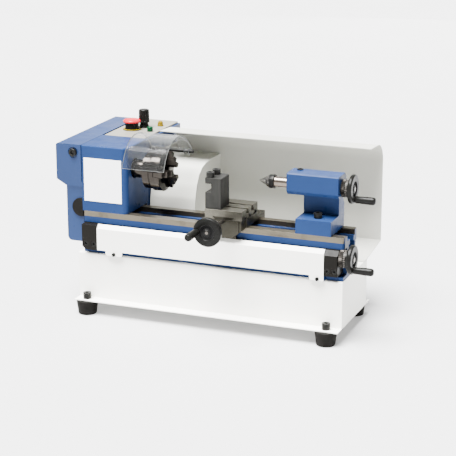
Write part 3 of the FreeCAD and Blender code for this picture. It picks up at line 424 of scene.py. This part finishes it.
def lathe(name, profile, origin, direction, body, finishes, replaced=(), segments=96,
          wave=None, angle=35):
    """Turn a profile of (distance, radius, finish index) in mm round an axis.

    wave(distance, turn) gives an extra radius in mm, for flutes and knurls."""
    along, side, up = basis(direction)
    shape = bmesh.new()
    rows = []
    for distance, radius, *_ in profile:
        spot = Vector(origin) + along * distance / 1000
        if radius < 1e-6:
            rows.append([shape.verts.new(spot)])
            continue
        row = []
        for step in range(segments):
            turn = 2 * math.pi * step / segments
            reach = (radius + (wave(distance, turn) if wave else 0)) / 1000
            outward = side * math.cos(turn) + up * math.sin(turn)
            row.append(shape.verts.new(spot + outward * reach))
        rows.append(row)
    for index, (first, second) in enumerate(zip(rows, rows[1:])):
        finish = profile[index + 1][2] if len(profile[index + 1]) > 2 else 0
        for step in range(segments):
            following = (step + 1) % segments
            if len(first) == 1:
                corners = (first[0], second[step], second[following])
            elif len(second) == 1:
                corners = (first[step], second[0], first[following])
            else:
                corners = (first[step], second[step], second[following], first[following])
            shape.faces.new(corners).material_index = finish
    bmesh.ops.recalc_face_normals(shape, faces=shape.faces)
    mesh = bpy.data.meshes.new(name)
    shape.to_mesh(mesh)
    shape.free()
    smooth(mesh, angle)
    show(name, mesh, body, finishes, replaced)


def ticks(name, origin, direction, radius, start, lengths, width, body):
    """Thin graduation marks all round a sleeve; lengths gives each mark's length in mm."""
    lift = 0.05
    along, side, up = basis(direction)
    shape = bmesh.new()
    for index, length in enumerate(lengths):
        turn = 2 * math.pi * index / len(lengths)
        outward = side * math.cos(turn) + up * math.sin(turn)
        across = along.cross(outward)
        base = Vector(origin) + along * start / 1000 + outward * (radius + lift) / 1000
        shape.faces.new([
            shape.verts.new(base + along * length * down / 1000 + across * width * over / 2000)
            for down, over in ((0, -1), (0, 1), (1, 1), (1, -1))])
    mesh = bpy.data.meshes.new(name)
    shape.to_mesh(mesh)
    shape.free()
    smooth(mesh)
    show(name, mesh, body, [INK])


# ------------------------------------------------------------------ pieces in the CAD's own shape

# each node with the radius of its edges in mm
for node, radius in (
        ("base_cabinet", 0.6), ("rubber_feet", 1.2), ("foot_bolts", 0.7), ("frame_bolts", 0.5),
        ("headstock", 1.4), ("spindle_bearings", 0.4), ("end_cover", 1.2), ("cover_screws", 0.6),
        ("cover_grommet", 0.8), ("control_box", 1.0), ("control_panel", 0.5),
        ("drive_motor", 0.8), ("drive_belt", 0.3), ("cable_gland", 0.6),
        ("leadscrew_guard", 0.3), ("sheet_screws", 0.4), ("left_bracket", 0.9),
        ("right_bracket", 0.9), ("hinge_rod", 0.6), ("spindle_pulley", 0.4),
        ("chuck_scroll", 0.3), ("motor_pulley", 0.4), ("leadscrew_nut", 0.4),
        ("saddle_keepers", 0.3), ("leadscrew", 0.3), ("cross_slide", 0.4), ("cross_nut", 0.3),
        ("slide_screws", 0.5), ("cross_screw", 0.3), ("tailstock", 1.2),
        ("tailstock_screws", 0.5), ("tailstock_clamp", 0.5), ("tail_screw", 0.3),
        ("name_plate", 0.15), ("control_bushes", 0.4)):
    dressed(node, radius)

# the same, where the finish is the piece's own; the saddle's and the splash guard's are darkened
# copies of other finishes that carry painted shade
for node, radius, finish in (
        ("tool_post", 0.7, POST_STEEL), ("saddle", 0.5, SADDLE_SHADED_IRON),
        ("splash_guard", 0.35, SPLASH_SHADED_WHITE), ("quill", 0.3, QUILL_STEEL),
        ("chuck_body", 0.5, CHUCK_STEEL), ("spindle", 0.4, CHUCK_STEEL),
        ("jaw_1", 0.35, JAW_STEEL), ("jaw_2", 0.35, JAW_STEEL), ("jaw_3", 0.35, JAW_STEEL)):
    dressed(node, radius, [finish])


def bed_finish(spot, normal):
    """Ground steel on the ways and their upper sides, paint elsewhere."""
    on_top = spot.z > WAY_TOP.z - 0.0004 and normal.z > 0.5
    on_side = spot.z > WAY_FOOT.z and abs(normal.y) > 0.5
    return 1 if on_top or on_side else 0


def centre_finish(spot, normal):
    """Bright steel in front of the flange, blackened steel on it."""
    return 1 if spot.x > CENTRE_FLANGE.x else 0


def guard_finish(spot, normal):
    """The sawn ends and lower edge of the clear sheet look white."""
    return 1 if abs(normal.x) > 0.9 or (normal.z < -0.8 and spot.z < GUARD_EDGE.z) else 0


dressed("bed", 0.5, [FINISH["blue_paint"], FINISH["ground_steel"]], bed_finish, WAY_FOOT.z)
dressed("dead_centre", 0.3, [CENTRE_STEEL, FINISH["dark_steel"]], centre_finish)
dressed("chuck_guard", 0.3, [FINISH["clear_plastic"], CUT_EDGE], guard_finish)

# ------------------------------------------------------------------ handwheels


def wheel(node, hub, direction, width, bore, ring, pin_spot, pin_length):
    """Dished wheel: black rim, face ring, dark recess and hub nut, with its grip pin."""
    body, slot = BODY_OF[node], SLOT_OF[node]
    profile = rounded([
        (0, bore, 0), (0, 8, 0), (1.2, 9.5, 0), (1.2, 16, 0), (0, 18, 0), (0, 20.4, 0),
        (0.7, 22.2, 0), (2.2, 23, 0), (width - 2.2, 23, 0), (width - 0.7, 22.2, 0),
        (width - 0.1, 20.8, 0), (width - 0.1, 20.2, 1), (width - 0.1, 12.8, 1),
        (width - 0.6, 12.2, 0), (width - 3.3, 11.5, 2), (width - 3.3, 7.2, 2),
        (width - 1.1, 6.4, 2), (width - 1.1, bore, 2)], 0.5, 2)
    lathe(node + "_finished", profile, hub, direction, body,
          [WHEEL_RIM, ring, WHEEL_HUB], (node,))
    nut = rounded([(width - 2, 0), (width - 2, 5.2), (width - 0.7, 5.2), (width - 0.2, 4.4),
                   (width - 0.2, 0)], 0.3, 2)
    lathe(node + "_nut", nut, hub, direction, body, [FINISH["dark_steel"]],
          segments=6, angle=20)
    screw = rounded([(width - 1, 0), (width - 1, 2.6), (width - 0.1, 2.6), (width, 2.2),
                     (width, 0)], 0.2, 2)
    pin = rounded([(0, 0), (0, 2.4), (pin_length, 2.4), (pin_length, 0)], 0.3, 2)
    for suffix, outline, spot in (("_screw", screw, hub), ("_pin", pin, pin_spot)):
        lathe(node + suffix, outline, spot, direction, body,
              [FINISH["turned_steel"]], segments=24)


def dial(node, origin, direction, length, knurl_end):
    """Dial: a straight-knurled ring and a satin sleeve with graduation marks."""
    ridges, radius, knurl_start = 44, 13.9, 0.9

    def knurl(distance, turn):
        if knurl_start + 0.4 < distance < knurl_end - 0.4:
            return -0.35 + 0.35 * math.cos(ridges * turn)
        return 0.0

    step = (knurl_end - knurl_start - 1) / 3
    profile = [
        (0.5, 5), (0.5, 12.9), (1.0, radius), (knurl_start + 0.45, 13.95),
        (knurl_start + 0.5, 13.95), (knurl_start + 0.5 + step, 13.95),
        (knurl_start + 0.5 + 2 * step, 13.95), (knurl_end - 0.5, 13.95),
        (knurl_end - 0.35, 13.95), (knurl_end, 13.2), (knurl_end + 0.7, 13.2),
        (knurl_end + 0.8, radius), (length - 0.7, radius), (length - 0.1, 13.2),
        (length - 0.1, 5),
    ]
    profile = [(along, reach, 0 if along < knurl_end + 0.2 else 1) for along, reach in profile]
    lathe(node + "_finished", profile, origin, direction, BODY_OF[node],
          [KNURL_STEEL, DIAL_STEEL], (node,), ridges * 6, knurl)
    marks = [3.6 if index % 5 == 0 else 2.6 for index in range(30)]
    ticks(node + "_marks", origin, direction, radius, knurl_end + 1.0, marks, 0.9,
          BODY_OF[node])


def grip(node, origin, direction, length):
    """Waisted black sleeve with a rounded end."""
    profile = rounded([
        (0.4, 2.6), (0.4, 4.8), (1.6, 5.5), (length * 0.3, 5.75), (length * 0.7, 6.25),
        (length - 4, 6.1), (length - 1.4, 5.1), (length - 0.3, 3.2), (length, 0)], 2.0, 4)
    lathe(node + "_finished", profile, origin, direction, BODY_OF[node],
          [WHEEL_RIM], (node,), 48)


# a screw, the hub and direction of its wheel, the wheel's width, bore and face, and the lengths
# of its pin, its dial up to the knurl's end, its whole dial and its grip, in mm
for screw, hub, outward, width, bore, face, pin, knurl_end, dial_length, grip_length in (
        ("leadscrew", LEADSCREW_HUB, RIGHT, 8, 4.1, WHEEL_FACE, 30, 7.4, 15, 33.5),
        ("tail", TAIL_HUB, RIGHT, 7, 4.1, WHEEL_FACE, 29, 6.4, 13.1, 33.5),
        ("cross", CROSS_HUB, FRONT, 9, 3.1, WHEEL_RIM, 33, 10, 20, 37)):
    centre = middle(screw + "_grip")
    face_spot = hub + outward * width / 1000
    grip_spot = centre + outward * (face_spot - centre).dot(outward)
    wheel(screw + "_handwheel", hub, outward, width, bore, face, grip_spot - outward / 1000, pin)
    dial(screw + "_dial", hub - outward * dial_length / 1000, outward, dial_length, knurl_end)
    grip(screw + "_grip", grip_spot, outward, grip_length)

# ------------------------------------------------------------------ controls


def on_panel(node):
    """The point of the panel's face on a node's upright axis."""
    centre = middle(node)
    return Vector((centre.x, centre.y, PANEL_TOP.z))


def knob_flutes(distance, turn):
    """Twelve hollows round the speed knob's grip."""
    if 11 < distance < 29.5:
        return -0.9 * max(0.0, math.cos(12 * turn)) ** 1.5
    return 0.0


stop_button = rounded([
    (-12, 0), (-12, 5.9), (16.3, 5.9), (16.3, 12.3), (12.5, 12.3), (12.5, 13.9), (13.2, 14.9),
    (15.2, 14.9), (17.4, 13), (18.5, 8), (18.8, 0)], 0.8)
stop_ring = rounded([(1.55, 12.2), (1.75, 12.2), (1.75, 14.8), (1.55, 14.9)], 0.1, 1)
speed_knob = [
    (-18, 0), (-18, 2.9), (5.5, 2.9), (5.5, 6.8), (8.9, 6.8), (9.1, 9.2), (10.6, 9.25),
    (11.4, 9.2), (15, 9.15), (20, 9.05), (26, 8.9), (29, 8.8), (29.9, 8.6), (30.7, 7.8),
    (30.9, 7.2), (30.9, 0)]
start_button = rounded([(-8, 0), (-8, 4.9), (6.4, 4.95), (7.9, 4.1), (8.4, 0)], 0.8)
indicator_lamp = rounded([
    (-14, 0), (-14, 3.4), (0.05, 3.4), (0.05, 5.2), (2.0, 5.2), (2.2, 4.6), (6.0, 4.5),
    (8.4, 2.9), (9.3, 0)], 0.9)

lathe("stop_button_finished", stop_button, on_panel("stop_button"), UP, "stop_button",
      [FINISH["red_plastic"]], ("stop_button",), 72)
lathe("stop_ring", stop_ring, on_panel("stop_button"), UP, "frame",
      [YELLOW_RING], segments=72)
lathe("speed_knob_finished", speed_knob, SPEED_KNOB, UP, "speed_knob",
      [FINISH["black_plastic"]], ("speed_knob",), 144, knob_flutes)
lathe("start_button_finished", start_button, on_panel("start_button"), UP, "start_button",
      [FINISH["green_plastic"]], ("start_button",), 48)
lathe("indicator_lamp_finished", indicator_lamp, on_panel("indicator_lamp"), UP, "frame",
      [FINISH["yellow_plastic"]], ("indicator_lamp",), 48)

# ------------------------------------------------------------------ floor, light and camera

FLOOR_HALF = 20                            # metres
FLOOR_DROP = 0.0005                        # keeps the floor just clear of the rubber feet

pale = Surface("pale_floor")
pale.colour(pale.ramp(pale.noise(3, 3), [(0.3, (0.42, 0.42, 0.42)), (0.7, (0.43, 0.43, 0.43))]))
pale.rough(pale.span(pale.noise(8, 2), 0.8, 0.9))
pale.shader.inputs["Emission Color"].default_value = (1, 1, 1, 1)
pale.shader.inputs["Emission Strength"].default_value = 0.4
floor_mesh = bpy.data.meshes.new("floor")
floor_mesh.from_pydata([(FLOOR_HALF * x, FLOOR_HALF * y, 0)
                        for x, y in ((-1, -1), (1, -1), (1, 1), (-1, 1))], [], [(0, 1, 2, 3)])
floor_mesh.materials.append(pale.material)
floor = bpy.data.objects.new("floor", floor_mesh)
floor.location.z = -FLOOR_DROP
bpy.context.scene.collection.objects.link(floor)


def aim(thing, direction):
    """Turn a light to shine in a direction, and put it in the scene."""
    thing.rotation_euler = Vector(direction).to_track_quat("-Z", "Y").to_euler()
    bpy.context.scene.collection.objects.link(thing)


sun_data = bpy.data.lights.new("sun", "SUN")
sun_data.energy = 37
sun_data.angle = math.radians(40)
aim(bpy.data.objects.new("sun", sun_data), (0.13, 0.25, -0.96))

softbox_data = bpy.data.lights.new("rear_softbox", "AREA")
softbox_data.shape = "DISK"
softbox_data.size = 2.4
softbox_data.energy = 24
softbox = bpy.data.objects.new("rear_softbox", softbox_data)
softbox.location = (-0.5, 2.9, 1.15)
aim(softbox, Vector((0, 0, 0.2)) - softbox.location)

world = bpy.data.worlds.new("studio")
world.use_nodes = True
world.node_tree.nodes["Background"].inputs["Color"].default_value = (1, 1, 1, 1)
world.node_tree.nodes["Background"].inputs["Strength"].default_value = 0.5
bpy.context.scene.world = world

CAMERA_SPOT = at(1105.497, -2155.535, 740.956)
AZIMUTH, ELEVATION = math.radians(21.382), math.radians(16.224)
camera_data = bpy.data.cameras.new("camera")
camera_data.sensor_width = 36
camera_data.lens = 121.726
camera_data.clip_end = 100
camera = bpy.data.objects.new("camera", camera_data)
forward = Vector((-math.sin(AZIMUTH) * math.cos(ELEVATION),
                  math.cos(AZIMUTH) * math.cos(ELEVATION), -math.sin(ELEVATION)))
rightward = Vector((math.cos(AZIMUTH), math.sin(AZIMUTH), 0))
upward = rightward.cross(forward)
turn = Matrix((rightward, upward, -forward)).transposed().to_4x4()
camera.matrix_world = Matrix.Translation(CAMERA_SPOT) @ turn
bpy.context.scene.collection.objects.link(camera)
bpy.context.scene.camera = camera
